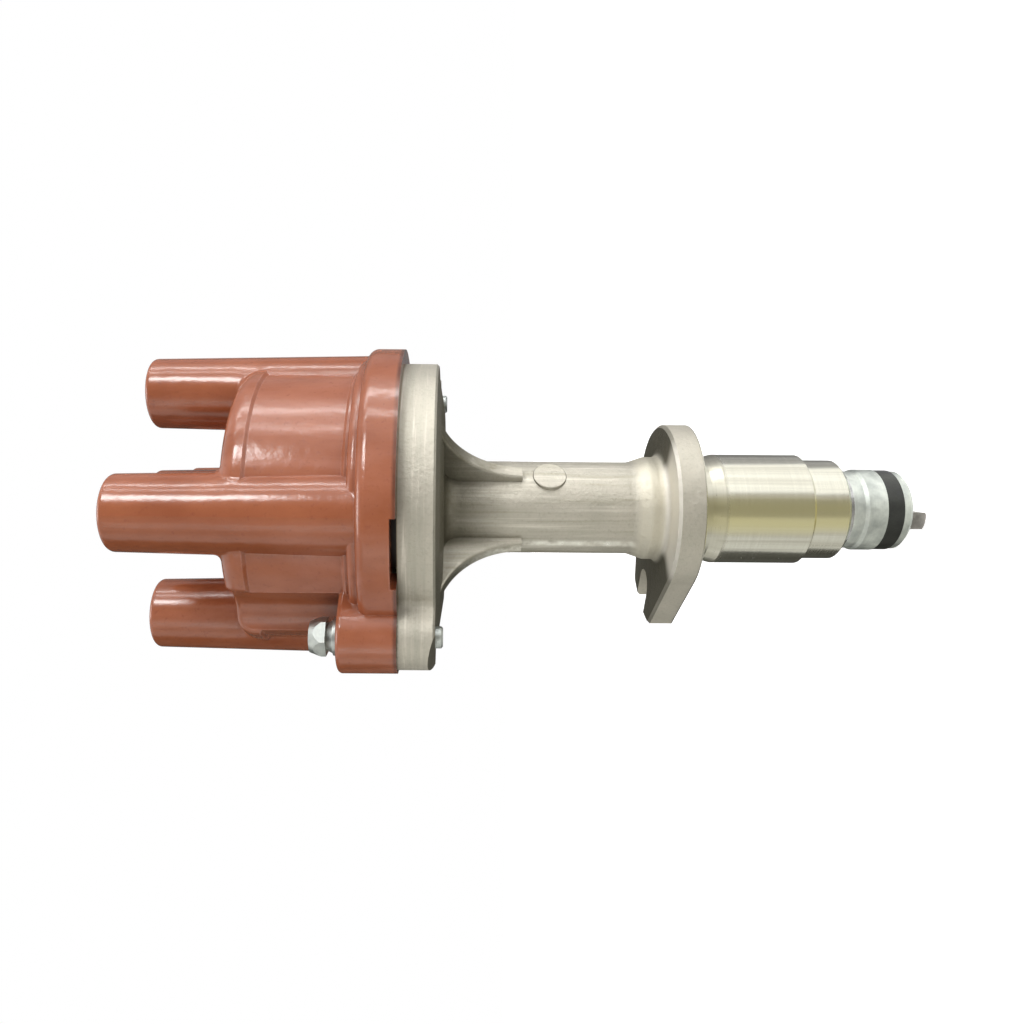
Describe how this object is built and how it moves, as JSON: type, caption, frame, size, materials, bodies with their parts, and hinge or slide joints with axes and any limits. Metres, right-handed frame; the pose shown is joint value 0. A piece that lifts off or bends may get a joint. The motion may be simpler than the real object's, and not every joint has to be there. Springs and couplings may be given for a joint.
{
  "type": "ignition distributor",
  "caption": "High-tension ignition distributor: moulded cap with lead towers, cast housing with clamp flange and ground shank, rotor on a through shaft with offset drive tang.",
  "frame": {"origin": "on the shaft axis, in the plane of the clamp flange's seat face", "axes": "+Z along the shaft towards the cap; -Y towards the viewer of the picture; the flange's lug points to -X+Y"},
  "size_m": [0.08, 0.08, 0.1951],
  "materials": {
    "cast_aluminium": "satin as cast, shank machined",
    "cap_moulding": "glossy moulded thermoset",
    "terminal_brass": "bright",
    "spring_steel": "drawn wire",
    "carbon": "matt carbon",
    "zinc_plate": "bright zinc plate",
    "dark_moulding": "satin moulding",
    "bush_bronze": "sintered, oil soaked",
    "black_rubber": "matt",
    "ground_steel": "ground",
    "resistor_ceramic": "glazed ceramic",
    "coupling_zinc": "zinc plate with a blue-green passivate",
    "black_band": "black oxide"
  },
  "bodies": {
    "housing": {"housing_casting": "cast_aluminium", "distributor_cap": "cap_moulding", "outer_terminal_1": "terminal_brass", "outer_terminal_2": "terminal_brass", "outer_terminal_3": "terminal_brass", "outer_terminal_4": "terminal_brass", "centre_terminal": "terminal_brass", "brush_spring": "spring_steel", "cap_screws": "zinc_plate", "screw_washers": "zinc_plate", "dust_shield": "dark_moulding", "upper_bush": "bush_bronze", "lower_bush": "bush_bronze", "shaft_seal": "black_rubber"},
    "rotor_shaft": {"drive_shaft": "ground_steel", "rotor_arm": "dark_moulding", "rotor_electrode": "terminal_brass", "rotor_contact": "terminal_brass", "rotor_resistor": "resistor_ceramic", "upper_thrust_washer": "ground_steel", "shaft_circlip": "spring_steel", "lower_thrust_washer": "ground_steel", "end_float_shim": "ground_steel", "drive_coupling": "coupling_zinc", "coupling_pin": "ground_steel", "pin_retaining_ring": "black_band"},
    "carbon_brush": {"carbon_brush": "carbon"}
  },
  "joints": [
    {"name": "shaft_spin", "type": "hinge", "parent": "housing", "child": "rotor_shaft", "pos_m": [0, 0, 0], "axis": [0, 0, 1], "continuous": true},
    {"name": "brush_lift", "type": "slide", "parent": "housing", "child": "carbon_brush", "axis": [0, 0, 1], "range_m": [0, 0.0015], "stiffness_N_per_m": 400, "springref_m": -0.0015, "deforming": ["brush_spring"]}
  ]
}
